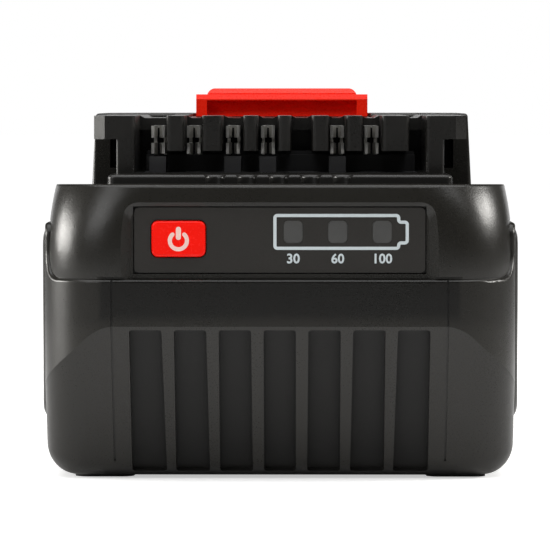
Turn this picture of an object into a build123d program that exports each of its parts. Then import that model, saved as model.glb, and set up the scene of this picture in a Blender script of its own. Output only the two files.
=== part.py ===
from build123d import *
from math import cos, radians, sin, sqrt, tan
import os

# Slide-on battery pack for cordless tools, in millimetres.
# +X is the right side seen from the front, -Y the front with the gauge panel, +Z is up.
# The origin lies under the middle of the case, on the plane of the feet.

os.makedirs("parts", exist_ok=True)

# Cells
cell_diameter = 18.3
cell_length = 65.0
cell_gap = 0.7
cells_per_row = 5
cell_rows = 2

# Case
wall = 2.4
front_room = 9.5
rear_room = 6.5
side_room = 4.3
foot_height = 0.4
foam_thickness = 1.0
holder_rim = 0.75
rim_room = 0.4
case_corner = 12.0

# Boards
board_lift = 1.4
board_thickness = 1.6
board_headroom = 1.5

# Clearances and cutting
fit_gap = 0.3
slip_gap = 0.15
thread_gap = 0.03
overrun = 1.0

# Places that follow from the sizes above
cell_pitch = cell_diameter + cell_gap
cell_radius = cell_diameter / 2
block_length = (cells_per_row - 1) * cell_pitch + cell_diameter + 2 * holder_rim
block_height = (cell_rows - 1) * cell_pitch + cell_diameter + 2 * holder_rim
case_width = cell_length + 2 * (side_room + wall)
case_length = block_length + front_room + rear_room + 2 * wall
front = -case_length / 2
rear = case_length / 2
case_bottom = foot_height
floor_top = case_bottom + wall
block_bottom = floor_top + foam_thickness
block_top = block_bottom + block_height
block_front = front + wall + front_room
block_middle = block_front + block_length / 2
rim_top = block_top + rim_room
board_bottom = block_top + board_lift
board_top = board_bottom + board_thickness
deck_under = board_top + board_headroom
deck_top = deck_under + wall

cell_columns = [
    block_front + holder_rim + cell_radius + column * cell_pitch for column in range(cells_per_row)
]
cell_levels = [
    block_bottom + holder_rim + cell_radius + row * cell_pitch for row in range(cell_rows)
]
valleys = [column + cell_pitch / 2 for column in cell_columns[:-1]]


gauge_inset = 13.15
gauge_side = case_width / 2 - gauge_inset

# Seam between the two halves: low across the front, then a rounded step up to the rim
notch_drop = 9.0
notch_depth = 9.5
notch_inner_radius = 4.5
notch_outer_radius = 2.25
shadow_gap = 0.4
seam_front = rim_top - notch_drop


def above_seam(gap):
    """Everything over the seam, kept clear of it by gap."""
    step = front + notch_depth - gap
    low = seam_front + gap
    high = rim_top + gap
    sky = 2 * deck_top
    with BuildPart() as region:
        with BuildSketch(Plane.YZ):
            with BuildLine():
                Polyline(
                    (front - overrun, low),
                    (step, low),
                    (step, high),
                    (rear + overrun, high),
                    (rear + overrun, sky),
                    (front - overrun, sky),
                    close=True,
                )
            make_face()
            fillet(vertices().sort_by_distance((step, low))[0], notch_inner_radius - gap)
            fillet(vertices().sort_by_distance((step, high))[0], notch_outer_radius + gap)
        extrude(amount=case_width, both=True)
    return region.part


def save(piece, name):
    """Label the finished piece and write it under its own name."""
    piece.part.label = name
    export_step(piece.part, f"parts/{name}.step")


def upright_cylinder(radius, place, low, high, mode=Mode.ADD):
    """Cylinder along Z at place (x, y), from low to high."""
    with Locations((place[0], place[1], low)):
        Cylinder(radius, high - low, align=(Align.CENTER, Align.CENTER, Align.MIN), mode=mode)


def block_between(low, high, mode=Mode.ADD):
    """Box between two opposite corners."""
    sizes = [high[axis] - low[axis] for axis in range(3)]
    with Locations(tuple(low)):
        Box(*sizes, align=(Align.MIN, Align.MIN, Align.MIN), mode=mode)


# Case screws: self-tapping, driven from above, the same in all four corners
screw_radius = 1.45
screw_length = 22.0
screw_head_radius = 2.6
screw_head_height = 2.0
screw_socket_radius = 1.25
screw_socket_depth = 1.2
screw_seat_depth = 2.7
front_screw_inset = 8.9
rear_screw_side = 26.0
front_screw_setback = 8.5
boss_wall = 1.25
boss_radius = screw_radius + boss_wall
front_screw_side = case_width / 2 - front_screw_inset
screw_seat = deck_top - screw_seat_depth
front_screw_y = front + front_screw_setback
rear_screw_y = block_front + block_length + fit_gap + boss_radius
screw_places = [
    (-front_screw_side, front_screw_y),
    (front_screw_side, front_screw_y),
    (-rear_screw_side, rear_screw_y),
    (rear_screw_side, rear_screw_y),
]


# Lower case
chin_angle = 25.0
chin_corner = 7.0
band_height = 7.75
chin_wall = 3.4
bottom_edge = 5.5
chin_top = seam_front - band_height

pocket_count = 7
pocket_width = 5.3
pocket_pitch = 7.35
pocket_depth = 1.8
pocket_corner = 0.5
pocket_bar = 0.65
pocket_foot = 0.65
pocket_flare_share = 0.024

seam_line_gap = 1.5
seam_line_width = 0.35
seam_line_depth = 0.35

pad_proud = 1.0
pad_roll = 3.0
pad_setback = 18.0
pad_base = 8.6
pad_corner = 4.0
grip_count = 9
grip_width = 5.3
grip_pitch = 7.35
grip_height = 17.0
grip_base = 4.6
grip_depth = 0.8
grip_corner = 0.6

side_rib_width = 1.6
side_rib_height = 30.0
side_rib_gap = 1.0
rim_round = 0.6


def chin_block(inset, chin_inset, low, high):
    """Block with rounded corners whose whole front leans back at the chin's angle."""
    lean = tan(radians(chin_angle))
    with BuildPart() as block:
        for level in (low, high):
            setback = chin_inset + (chin_top - level) * lean
            length = case_length + overrun - setback
            with BuildSketch(Plane.XY.offset(level)):
                with Locations((0, front + setback + length / 2)):
                    RectangleRounded(case_width - 2 * inset, length, chin_corner - inset)
        loft(ruled=True)
    return block.part


def tub_block(inset, chin_inset, low, high):
    """Upright block with the case's corners, cut back below the band by the leaning chin."""
    chin = chin_block(inset, chin_inset, low, high)
    with BuildPart() as block:
        with BuildSketch(Plane.XY.offset(low)):
            RectangleRounded(case_width - 2 * inset, case_length - 2 * inset, case_corner - inset)
        extrude(amount=high - low)
        add(chin, mode=Mode.INTERSECT)
    return block.part


def side_pad():
    """Raised pad on the right side, with its edges rolled over."""
    inner = case_width / 2 + pad_proud - pad_roll - slip_gap
    length = case_length - 2 * pad_setback
    with BuildPart() as pad:
        with BuildSketch(Plane.YZ.offset(inner)):
            with Locations((0, (pad_base + rim_top) / 2)):
                RectangleRounded(length, rim_top - pad_base, pad_corner)
        extrude(amount=pad_roll + slip_gap)
        fillet(pad.faces().sort_by(Axis.X)[-1].edges(), pad_roll)
        with BuildSketch(Plane.YZ.offset(case_width / 2 + pad_proud - grip_depth)):
            with Locations((0, pad_base + grip_base + grip_height / 2)):
                with GridLocations(grip_pitch, 0, grip_count, 1):
                    RectangleRounded(grip_width, grip_height, grip_corner)
        extrude(amount=grip_depth + overrun, mode=Mode.SUBTRACT)
    return pad.part


chin_plane = Plane(
    origin=(0, front, chin_top),
    x_dir=(1, 0, 0),
    z_dir=(0, -cos(radians(chin_angle)), -sin(radians(chin_angle))),
)
chin_slope = (chin_top - case_bottom) / cos(radians(chin_angle))
right_pad = side_pad()

with BuildPart() as lower_case:
    add(tub_block(0, 0, case_bottom, rim_top))
    fillet(lower_case.faces().sort_by(Axis.Z)[0].edges(), bottom_edge)
    # The walls end at the seam, whose outer edge is rounded
    add(above_seam(0), mode=Mode.SUBTRACT)
    seam_edges = [
        edge
        for face in lower_case.faces()
        if face.center().Z > seam_front - overrun
        for edge in face.edges()
    ]
    rim_edges = [
        edge
        for edge in seam_edges
        if abs(edge.center().X) > overrun or not front + overrun < edge.center().Y < rear - overrun
    ]
    fillet(rim_edges, rim_round)
    add(right_pad)
    add(mirror(right_pad, about=Plane.YZ))
    add(
        tub_block(wall, chin_wall / cos(radians(chin_angle)), floor_top, rim_top + overrun),
        mode=Mode.SUBTRACT,
    )
    # Pockets down the chin, each a little wider at its foot on the side towards the middle
    pocket_end = pocket_foot - chin_slope
    with BuildSketch(chin_plane.offset(-pocket_depth)):
        for number in range(pocket_count):
            middle = (number - (pocket_count - 1) / 2) * pocket_pitch
            left = middle - pocket_width / 2
            right = middle + pocket_width / 2
            with BuildLine():
                Polyline(
                    (left, -pocket_bar),
                    (right, -pocket_bar),
                    (right + pocket_flare_share * max(0, -middle), pocket_end),
                    (left - pocket_flare_share * max(0, middle), pocket_end),
                    close=True,
                )
            make_face()
        fillet(vertices(), pocket_corner)
    extrude(amount=pocket_depth + overrun, mode=Mode.SUBTRACT)
    # Fine groove down each side of the middle panel
    lean = tan(radians(chin_angle))
    groove_end = case_bottom + bottom_edge / 2
    for side in (-1, 1):
        with BuildSketch(Plane.YZ.offset(side * (gauge_side + seam_line_gap) - seam_line_width / 2)):
            with BuildLine():
                Polyline(
                    (front - overrun, rim_top),
                    (front + seam_line_depth, rim_top),
                    (front + seam_line_depth, chin_top),
                    (front + seam_line_depth + (chin_top - groove_end) * lean, groove_end),
                    (front - overrun, groove_end),
                    close=True,
                )
            make_face()
        extrude(amount=seam_line_width, mode=Mode.SUBTRACT)
    # Screw bosses, cut off by the outside of the case
    front_boss_low = chin_top - (front_screw_setback - boss_radius) / lean
    upright_cylinder(boss_radius, screw_places[0], front_boss_low, seam_front)
    upright_cylinder(boss_radius, screw_places[1], front_boss_low, seam_front)
    upright_cylinder(boss_radius, screw_places[2], floor_top, rim_top)
    upright_cylinder(boss_radius, screw_places[3], floor_top, rim_top)
    for place in screw_places:
        upright_cylinder(
            screw_radius + thread_gap,
            place,
            screw_seat - screw_length - overrun,
            rim_top + overrun,
            mode=Mode.SUBTRACT,
        )
    # Upright ribs that steady the cell block from both sides
    rib_inner = cell_length / 2 + side_rib_gap
    rib_outer = case_width / 2 - wall / 2
    for valley in valleys:
        for side in (-1, 1):
            inner_and_outer = sorted((side * rib_inner, side * rib_outer))
            block_between(
                (inner_and_outer[0], valley - side_rib_width / 2, floor_top),
                (inner_and_outer[1], valley + side_rib_width / 2, floor_top + side_rib_height),
            )
save(lower_case, "lower_case")


# Base feet
foot_width = 10.0
foot_length = 8.0
foot_corner = 2.0
foot_inset = 9.6
foot_setback = 20.0
foot_hollow_depth = 0.2
foot_edge = 1.4

foot_side = case_width / 2 - foot_inset

with BuildPart() as base_feet:
    with BuildSketch(Plane.XY):
        with GridLocations(2 * foot_side, case_length - 2 * foot_setback, 2, 2):
            RectangleRounded(foot_width, foot_length, foot_corner)
    extrude(amount=foot_height)
    with BuildSketch(Plane.XY):
        with GridLocations(2 * foot_side, case_length - 2 * foot_setback, 2, 2):
            RectangleRounded(
                foot_width - 2 * foot_edge, foot_length - 2 * foot_edge, foot_corner - foot_edge / 2
            )
    extrude(amount=foot_hollow_depth, mode=Mode.SUBTRACT)
save(base_feet, "base_feet")


# Rail block: step plate, stem and flanges, with toothed contact slots in its front
step_height = 1.5
groove_height = 5.8
flange_height = 3.9
step_side = 28.5
stem_side = 27.4
flange_side = 31.3
bay_side = 24.3
step_setback = 7.0
rail_setback = 14.0
housing_setback = 70.0
step_corner = 1.2
flange_chamfer = 1.95
flange_chamfer_length = 3.3
tooth_length = 20.0
tooth_drop = 5.85
tooth_round = 0.8
stem_round = 0.5
bay_length = 26.0
bay_floor_rise = 0.2
channel_depth = 0.45
channel_shoulder = 0.8
cap_thickness = 2.5
hidden_room_gap = 2.0
scallop_radius = 1.6
scallop_count = 5
scallop_pitch = 5.27
scallop_shift = -0.2
carrier_side = 23.0
carrier_setback = 17.0
carrier_length = 19.0
rail_screw_radius = 1.2
rail_screw_length = 8.0
rail_boss_radius = 2.8
rail_boss_reach = 2.5
rail_edge = 0.6
tray_depth = 0.35
tray_setback = 2.0
tray_edge = 0.5
catch_setback = 78.0
catch_side = 15.8

step_top = deck_top + step_height
groove_top = step_top + groove_height
rail_top = groove_top + flange_height
rail_front = front + rail_setback
housing_front = front + housing_setback
bay_floor = step_top + bay_floor_rise
catch_front = front + catch_setback
tray_side = catch_side + tray_edge
tray_top = rail_top - tray_depth
carrier_front = front + carrier_setback
carrier_rear = carrier_front + carrier_length
hidden_room_front = rail_front + bay_length + hidden_room_gap
hidden_room_rear = housing_front - hidden_room_gap
rail_screw_places = [
    (side * (bay_side - rail_boss_reach), y)
    for y in (hidden_room_front + rail_boss_reach, hidden_room_rear - rail_boss_reach)
    for side in (-1, 1)
]

# Edges of the teeth, as shares of the bay's half width
tooth_edge_shares = [
    (-0.784, -0.663),
    (-0.539, -0.403),
    (-0.255, -0.156),
    (-0.016, 0.076),
    (0.218, 0.337),
    (0.453, 0.568),
    (0.700, 0.889),
]
slot_low_shares = [-1.0] + [high for low, high in tooth_edge_shares]
slot_high_shares = [low for low, high in tooth_edge_shares] + [1.0]
slot_edge_shares = list(zip(slot_low_shares, slot_high_shares))

with BuildPart() as rail_block:
    with BuildSketch(Plane.XY.offset(deck_top)):
        with Locations((0, (front + step_setback + housing_front) / 2)):
            Rectangle(2 * step_side, housing_front - front - step_setback)
        fillet(vertices().group_by(Axis.Y)[0], step_corner)
        with Locations((scallop_shift, front + step_setback)):
            with GridLocations(scallop_pitch, 0, scallop_count, 1):
                Circle(scallop_radius, mode=Mode.SUBTRACT)
    extrude(amount=step_height)
    block_between((-stem_side, rail_front, step_top), (stem_side, housing_front, groove_top))
    with BuildSketch(Plane.XY.offset(groove_top)):
        with Locations((0, (rail_front + housing_front) / 2)):
            Rectangle(2 * flange_side, housing_front - rail_front)
    extrude(amount=flange_height)
    for side in (-1, 1):
        with BuildSketch(Plane.XY.offset(groove_top - overrun)):
            with BuildLine():
                Polyline(
                    (side * flange_side, rail_front),
                    (side * (flange_side - flange_chamfer), rail_front),
                    (side * flange_side, rail_front + flange_chamfer_length),
                    close=True,
                )
            make_face()
        extrude(amount=flange_height + 2 * overrun, mode=Mode.SUBTRACT)
    # Terminal bay under the teeth, and the slots between them
    block_between(
        (-bay_side, rail_front - overrun, bay_floor),
        (bay_side, rail_front + bay_length, rail_top - tooth_drop),
        mode=Mode.SUBTRACT,
    )
    block_between(
        (-bay_side, rail_front + tooth_length, bay_floor),
        (bay_side, rail_front + bay_length, rail_top - cap_thickness),
        mode=Mode.SUBTRACT,
    )
    for low_share, high_share in slot_edge_shares:
        block_between(
            (low_share * bay_side, rail_front - overrun, bay_floor),
            (high_share * bay_side, rail_front + tooth_length, rail_top + overrun),
            mode=Mode.SUBTRACT,
        )
    # Behind each slot a shallow channel with sloping sides runs on over the cap
    with BuildSketch(Plane.XZ.offset(-(rail_front + tooth_length - overrun))):
        for low_share, high_share in slot_edge_shares:
            with BuildLine():
                Polyline(
                    (low_share * bay_side, rail_top + overrun),
                    (low_share * bay_side, rail_top),
                    (low_share * bay_side + channel_shoulder, rail_top - channel_depth),
                    (high_share * bay_side - channel_shoulder, rail_top - channel_depth),
                    (high_share * bay_side, rail_top),
                    (high_share * bay_side, rail_top + overrun),
                    close=True,
                )
            make_face()
    extrude(amount=-(housing_front - rail_front - tooth_length + 2 * overrun), mode=Mode.SUBTRACT)
    # In front of the catch the top is a little lower
    block_between(
        (-tray_side, rail_front + tooth_length + tray_setback, tray_top),
        (tray_side, housing_front + overrun, rail_top + overrun),
        mode=Mode.SUBTRACT,
    )
    # Opening for the terminal carrier, and the hollow under the cap with its screw bosses
    block_between(
        (-carrier_side - fit_gap, carrier_front - fit_gap, deck_top - overrun),
        (carrier_side + fit_gap, carrier_rear + fit_gap, bay_floor + overrun),
        mode=Mode.SUBTRACT,
    )
    block_between(
        (-bay_side, hidden_room_front, deck_top - overrun),
        (bay_side, hidden_room_rear, rail_top - cap_thickness),
        mode=Mode.SUBTRACT,
    )
    for place in rail_screw_places:
        upright_cylinder(rail_boss_radius, place, deck_top, rail_top - cap_thickness)
    for place in rail_screw_places:
        upright_cylinder(
            rail_screw_radius + thread_gap,
            place,
            deck_top - overrun,
            deck_under + rail_screw_length + fit_gap,
            mode=Mode.SUBTRACT,
        )
    tooth_edges = (
        rail_block.edges()
        .filter_by(Axis.Z)
        .filter_by_position(Axis.Y, rail_front - fit_gap, rail_front + fit_gap)
        .filter_by_position(Axis.X, -bay_side - fit_gap, bay_side + fit_gap)
        .filter_by_position(Axis.Z, bay_floor + fit_gap, rail_top)
    )
    fillet(tooth_edges, tooth_round)
    stem_edges = (
        rail_block.edges()
        .filter_by(Axis.Z)
        .filter_by_position(Axis.Y, rail_front - fit_gap, rail_front + fit_gap)
        .filter_by_position(Axis.Z, step_top, groove_top)
    )
    fillet(stem_edges, stem_round)
    step_rim = (
        rail_block.edges()
        .filter_by_position(Axis.Z, step_top - thread_gap, step_top + thread_gap)
        .filter_by_position(Axis.Y, front, rail_front - overrun)
    )
    fillet(step_rim, rail_edge)
save(rail_block, "rail_block")


# Upper case: bulging lid with the gauge recess, the deck and the latch housing
lid_inset = 0.55
lid_wall = 2.6
lid_corner = 12.0
lid_top_corner = 15.5
lid_edge = 0.7
shoulder_drop = 4.5
skirt_draw = 0.22
shoulder_draw = 1.15
shadow_depth = 0.6
lip_depth = 1.5
ridge_length = 5.0
deck_fall = 2.65

gauge_bevel = 1.65
gauge_depth = 1.3
gauge_top_drop = 2.1
gauge_corner = 2.2
gauge_wall = 4.6
panel_height = 10.7
panel_thickness = 1.2
panel_foot = 1.05
panel_gap = 0.2
panel_side_gap = 0.55
panel_corner = 0.8

button_inset = 2.8
button_width = 8.9
button_height = 5.95
button_above_foot = 2.58
window_count = 3
window_pitch = 7.3
window_inset = 5.5
window_width = 3.1
window_height = 3.6
window_above_foot = 4.9
window_ledge = 0.4
gauge_post_inset = 1.45
gauge_post_radius = 2.0
gauge_board_setback = 8.2
gauge_screw_radius = 0.8

housing_width = 69.3
housing_height = 11.4
housing_draft = 3.0
housing_corner = 10.5
housing_front_corner = 0.8
housing_edge = 0.6
housing_wall = 2.2
housing_end_gap = 0.9
latch_room_side = 22.4
latch_room_end = 3.0
catch_length = 12.0
pad_side = 15.7
pad_room_setback = 98.4
pad_sill = 1.1
groove_run_out = 10.0
collar_radius = 3.8
collar_height = 2.0
retainer_screw_side = 25.0
retainer_screw_setbacks = (83.0, 102.0)
retainer_screw_radius = 1.2
retainer_screw_length = 7.0
retainer_thickness = 1.8
side_room_inner = 28.0
side_room_outer = 32.6
side_room_front = 84.0
side_room_rear = 100.0

shoulder_level = rim_top - shoulder_drop
gauge_top = deck_top - gauge_top_drop
gauge_floor = front + gauge_depth
gauge_post_side = gauge_side - gauge_post_inset
panel_bottom = seam_front + panel_foot
panel_top = panel_bottom + panel_height
panel_side = gauge_side - gauge_bevel - panel_side_gap
panel_back = gauge_floor + panel_thickness
gauge_back = front + gauge_wall
button_x = button_inset + button_width / 2 - panel_side
button_z = panel_bottom + button_above_foot + button_height / 2
window_row_length = (window_count - 1) * window_pitch + window_width
window_x = panel_side - window_inset - window_row_length / 2
window_z = panel_bottom + window_above_foot + window_height / 2
gauge_post_z = panel_bottom + panel_height / 2
gauge_board_front = front + gauge_board_setback
housing_top = deck_top + housing_height
housing_rear = rear - housing_end_gap
housing_inner_rear = rear - latch_room_end
catch_rear = catch_front + catch_length
pad_room_front = front + pad_room_setback
latch_room_top = housing_top - housing_wall
latch_room_front = housing_front + wall
retainer_screw_places = [
    (side * retainer_screw_side, front + setback)
    for setback in retainer_screw_setbacks
    for side in (-1, 1)
]


def lid_block(inset, top):
    """Lid's smooth bulging form, widest at the shoulder, drawn in by inset."""
    levels = (seam_front - overrun, shoulder_level, top)
    draws = (skirt_draw, 0, shoulder_draw)
    corners = (lid_corner, lid_corner, lid_top_corner)
    with BuildPart() as block:
        for level, draw, corner in zip(levels, draws, corners):
            room = 2 * (inset + draw)
            with BuildSketch(Plane.XY.offset(level)):
                RectangleRounded(case_width - 2 * lid_inset - room, case_length - room, corner - inset)
        loft()
    return block.part


def gauge_outline(half_width, top):
    """Outline of the gauge recess on its plane: round upper corners, open at the foot."""
    low = seam_front - wall
    with Locations((0, (low + top) / 2)):
        Rectangle(2 * half_width, top - low)
    fillet(vertices().group_by(Axis.Y)[-1], gauge_corner)


def gauge_recess():
    """Bevelled recess that narrows from the face of the lid to the gauge panel."""
    with BuildPart() as recess:
        with BuildSketch(Plane.XZ.offset(-front)):
            gauge_outline(gauge_side, gauge_top)
        extrude(amount=overrun)
        with BuildSketch(Plane.XZ.offset(-front)):
            gauge_outline(gauge_side, gauge_top)
        with BuildSketch(Plane.XZ.offset(-gauge_floor)):
            gauge_outline(gauge_side - gauge_bevel, gauge_top - gauge_bevel)
        loft(ruled=True)
    return recess.part


def seam_shadow():
    """Thin band along the seam that only reaches a short way into the wall."""
    with BuildPart() as band:
        add(above_seam(0))
        add(above_seam(shadow_gap), mode=Mode.SUBTRACT)
        block_between(
            (shadow_depth + lid_inset - case_width / 2, front + shadow_depth, 0),
            (case_width / 2 - lid_inset - shadow_depth, rear - shadow_depth, deck_top),
            mode=Mode.SUBTRACT,
        )
    return band.part


def button_outline(gap):
    """Outline of the check button, grown by gap, on an upright plane."""
    with Locations((button_x, button_z)):
        RectangleRounded(
            button_width + 2 * gap, button_height + 2 * gap, gauge_corner / 2 + gap
        )


def window_outlines(width, height):
    """Outlines of the gauge windows in a row, on an upright plane."""
    with Locations((window_x, window_z)):
        with GridLocations(window_pitch, 0, window_count, 1):
            RectangleRounded(width, height, panel_corner)


with BuildPart() as upper_case:
    add(lid_block(0, deck_top))
    fillet(upper_case.faces().sort_by(Axis.Z)[-1].edges(), lid_edge)
    add(above_seam(0), mode=Mode.INTERSECT)
    add(seam_shadow(), mode=Mode.SUBTRACT)
    # Beside the rail the deck falls away behind a ridge along its front
    for side in (-1, 1):
        with BuildSketch(Plane.YZ.offset(side * (step_side + fit_gap))):
            with BuildLine():
                Polyline(
                    (front + ridge_length, deck_top),
                    (rear + overrun, deck_top - deck_fall),
                    (rear + overrun, deck_top + overrun),
                    (front + ridge_length, deck_top + overrun),
                    close=True,
                )
            make_face()
        extrude(amount=side * case_width / 2, mode=Mode.SUBTRACT)
    # Latch housing
    with BuildSketch(Plane.XY.offset(deck_under)):
        with Locations((0, (housing_front + housing_rear) / 2)):
            Rectangle(housing_width, housing_rear - housing_front)
        fillet(vertices().group_by(Axis.Y)[-1], housing_corner)
        fillet(vertices().group_by(Axis.Y)[0], housing_front_corner)
    extrude(amount=housing_top - deck_under, taper=housing_draft)
    fillet(upper_case.faces().sort_by(Axis.Z)[-1].edges(), housing_edge)
    # Inside of the lid
    add(lid_block(lid_wall, deck_under), mode=Mode.SUBTRACT)
    block_between(
        (boss_radius + fit_gap - front_screw_side, front + lid_wall - overrun, seam_front),
        (front_screw_side - boss_radius - fit_gap, gauge_back, deck_under + overrun),
    )
    # Lips that stand inside the rim of the lower case
    lip_outer = case_width / 2 - wall - slip_gap
    lip_inner = lip_outer - wall / 2
    lip_low = rim_top - lip_depth
    for side in (-1, 1):
        lip_sides = sorted((side * lip_inner, side * lip_outer))
        block_between(
            (lip_sides[0], front + case_corner + overrun, lip_low),
            (lip_sides[1], rear - case_corner - overrun, deck_under - overrun),
        )
    block_between(
        (boss_radius + fit_gap - rear_screw_side, rear - wall - slip_gap - wall / 2, lip_low),
        (rear_screw_side - boss_radius - fit_gap, rear - wall - slip_gap, deck_under),
    )
    # Gauge recess, panel pocket, button hole and light holes
    add(gauge_recess(), mode=Mode.SUBTRACT)
    block_between(
        (-panel_side - panel_gap, gauge_floor - overrun, panel_bottom - panel_gap),
        (panel_side + panel_gap, panel_back, panel_top + panel_gap),
        mode=Mode.SUBTRACT,
    )
    with BuildSketch(Plane.XZ.offset(overrun - front)):
        button_outline(slip_gap)
        window_outlines(window_width - 2 * window_ledge, window_height - 2 * window_ledge)
    extrude(amount=-gauge_wall - 2 * overrun, mode=Mode.SUBTRACT)
    with BuildSketch(Plane.XZ.offset(-gauge_back)):
        with Locations((-gauge_post_side, gauge_post_z), (gauge_post_side, gauge_post_z)):
            Circle(gauge_post_radius)
    extrude(amount=gauge_back - gauge_board_front)
    with BuildSketch(Plane.XZ.offset(-gauge_board_front)):
        with Locations((-gauge_post_side, gauge_post_z), (gauge_post_side, gauge_post_z)):
            Circle(gauge_screw_radius + thread_gap)
    extrude(amount=gauge_board_front - panel_back - overrun, mode=Mode.SUBTRACT)
    # Opening in the deck for the terminal carrier
    block_between(
        (-carrier_side - fit_gap, carrier_front - fit_gap, deck_under - overrun),
        (carrier_side + fit_gap, carrier_rear + fit_gap, deck_top + overrun),
        mode=Mode.SUBTRACT,
    )
    # Room for the latch, with its openings for the catch and the thumb pad
    block_between(
        (-latch_room_side, latch_room_front, deck_under - overrun),
        (latch_room_side, housing_inner_rear, latch_room_top),
        mode=Mode.SUBTRACT,
    )
    block_between(
        (-catch_side - fit_gap, catch_front - fit_gap, latch_room_top - overrun),
        (catch_side + fit_gap, catch_rear + fit_gap, housing_top + overrun),
        mode=Mode.SUBTRACT,
    )
    block_between(
        (-tray_side, housing_front - overrun, tray_top),
        (tray_side, catch_front, housing_top + overrun),
        mode=Mode.SUBTRACT,
    )
    block_between(
        (-pad_side - fit_gap, pad_room_front, latch_room_top - overrun),
        (pad_side + fit_gap, rear + overrun, housing_top + overrun),
        mode=Mode.SUBTRACT,
    )
    block_between(
        (-pad_side - fit_gap, housing_inner_rear - overrun, deck_top + pad_sill),
        (pad_side + fit_gap, rear + overrun, housing_top + overrun),
        mode=Mode.SUBTRACT,
    )
    # Hollows beside the latch, and the far ends of the two rail grooves
    for side in (-1, 1):
        hollow_sides = sorted((side * side_room_inner, side * side_room_outer))
        block_between(
            (hollow_sides[0], front + side_room_front, deck_under - overrun),
            (hollow_sides[1], front + side_room_rear, latch_room_top),
            mode=Mode.SUBTRACT,
        )
        groove_sides = sorted((side * stem_side, side * flange_side))
        block_between(
            (groove_sides[0], housing_front - overrun, step_top),
            (groove_sides[1], housing_front + groove_run_out, groove_top),
            mode=Mode.SUBTRACT,
        )
    # Screw bosses: the front pair under the deck, the rear pair through the housing
    for place in screw_places[:2]:
        upright_cylinder(boss_radius, place, seam_front, deck_under + overrun)
    for place in screw_places[2:]:
        upright_cylinder(boss_radius, place, rim_top, deck_under + overrun)
    for place in screw_places:
        upright_cylinder(collar_radius, place, screw_seat - collar_height, deck_under + overrun)
    for place in screw_places:
        upright_cylinder(
            screw_radius + slip_gap, place, seam_front - overrun, screw_seat + overrun, mode=Mode.SUBTRACT
        )
        upright_cylinder(
            screw_head_radius + fit_gap, place, screw_seat, housing_top + overrun, mode=Mode.SUBTRACT
        )
    for place in rail_screw_places:
        upright_cylinder(
            rail_screw_radius + slip_gap, place, deck_under - overrun, deck_top + overrun, mode=Mode.SUBTRACT
        )
    for place in retainer_screw_places:
        upright_cylinder(
            retainer_screw_radius + thread_gap,
            place,
            deck_under - overrun,
            deck_under - retainer_thickness + retainer_screw_length + fit_gap,
            mode=Mode.SUBTRACT,
        )
save(upper_case, "upper_case")


# Case screws
screw_head_edge_share = 0.25
screw_point_edge_share = 0.33


def screw(radius, length, head_radius, head_height, socket_radius, socket_depth):
    """Screw that points down from its seat at the origin, with a six-sided socket in its head."""
    with BuildPart() as shape:
        upright_cylinder(radius, (0, 0), -length, 0)
        upright_cylinder(head_radius, (0, 0), 0, head_height)
        fillet(shape.faces().sort_by(Axis.Z)[-1].edges(), head_height * screw_head_edge_share)
        with BuildSketch(Plane.XY.offset(head_height - socket_depth)):
            RegularPolygon(socket_radius, 6)
        extrude(amount=socket_depth + overrun, mode=Mode.SUBTRACT)
        chamfer(shape.faces().sort_by(Axis.Z)[0].edges(), radius * screw_point_edge_share)
    return shape.part


case_screw = screw(
    screw_radius,
    screw_length,
    screw_head_radius,
    screw_head_height,
    screw_socket_radius,
    screw_socket_depth,
)
with BuildPart() as case_screws:
    for place in screw_places:
        add(Pos(place[0], place[1], screw_seat) * case_screw)
save(case_screws, "case_screws")


# Small screws inside, all of one pattern with their own sizes
small_head_share = 1.8
small_head_height = 1.2
small_socket_share = 0.85
small_socket_depth = 0.7


def small_screw(radius, length):
    """Short screw for the boards, the rail block and the latch retainer."""
    return screw(
        radius,
        length,
        small_head_share * radius,
        small_head_height,
        small_socket_share * radius,
        small_socket_depth,
    )


with BuildPart() as rail_screws:
    for place in rail_screw_places:
        small = small_screw(rail_screw_radius, rail_screw_length)
        add(Pos(place[0], place[1], deck_under) * Rot(180, 0, 0) * small)
save(rail_screws, "rail_screws")


# Gauge panel
with BuildPart() as gauge_panel:
    with BuildSketch(Plane.XZ.offset(-gauge_floor)):
        with Locations((0, (panel_bottom + panel_top) / 2)):
            RectangleRounded(2 * panel_side, panel_height, panel_corner)
    extrude(amount=-panel_thickness)
    with BuildSketch(Plane.XZ.offset(-gauge_floor)):
        button_outline(slip_gap)
        window_outlines(window_width + 2 * thread_gap, window_height + 2 * thread_gap)
    extrude(amount=-panel_thickness, mode=Mode.SUBTRACT)
save(gauge_panel, "gauge_panel")


# Gauge windows
with BuildPart() as led_windows:
    with BuildSketch(Plane.XZ.offset(-gauge_floor)):
        window_outlines(window_width, window_height)
    extrude(amount=-panel_thickness)
save(led_windows, "led_windows")


# Check button: cap, neck and a flange behind the wall of the lid
button_proud = 0.6
button_flange_edge = 1.0
button_flange_thickness = 1.0
button_round = 0.45

button_face = gauge_floor - button_proud
flange_back = gauge_back + button_flange_thickness

with BuildPart() as gauge_button:
    with BuildSketch(Plane.XZ.offset(-button_face)):
        button_outline(0)
    extrude(amount=button_face - flange_back)
    fillet(gauge_button.faces().sort_by(Axis.Y)[0].edges(), button_round)
    with BuildSketch(Plane.XZ.offset(-gauge_back)):
        button_outline(button_flange_edge)
    extrude(amount=-button_flange_thickness)
save(gauge_button, "gauge_button")


# Gauge board with its switch, plunger, lamps and screws
gauge_board_thickness = 1.2
gauge_board_overhang = 0.1
gauge_board_margin = 0.3
gauge_board_top_gap = 0.9
switch_size = 6.0
switch_depth = 1.6
plunger_radius = 1.5
plunger_gap = 0.1
plunger_room = 0.9
led_width = 2.0
led_height = 1.25
led_thickness = 0.8
gauge_screw_length = 2.6

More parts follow.
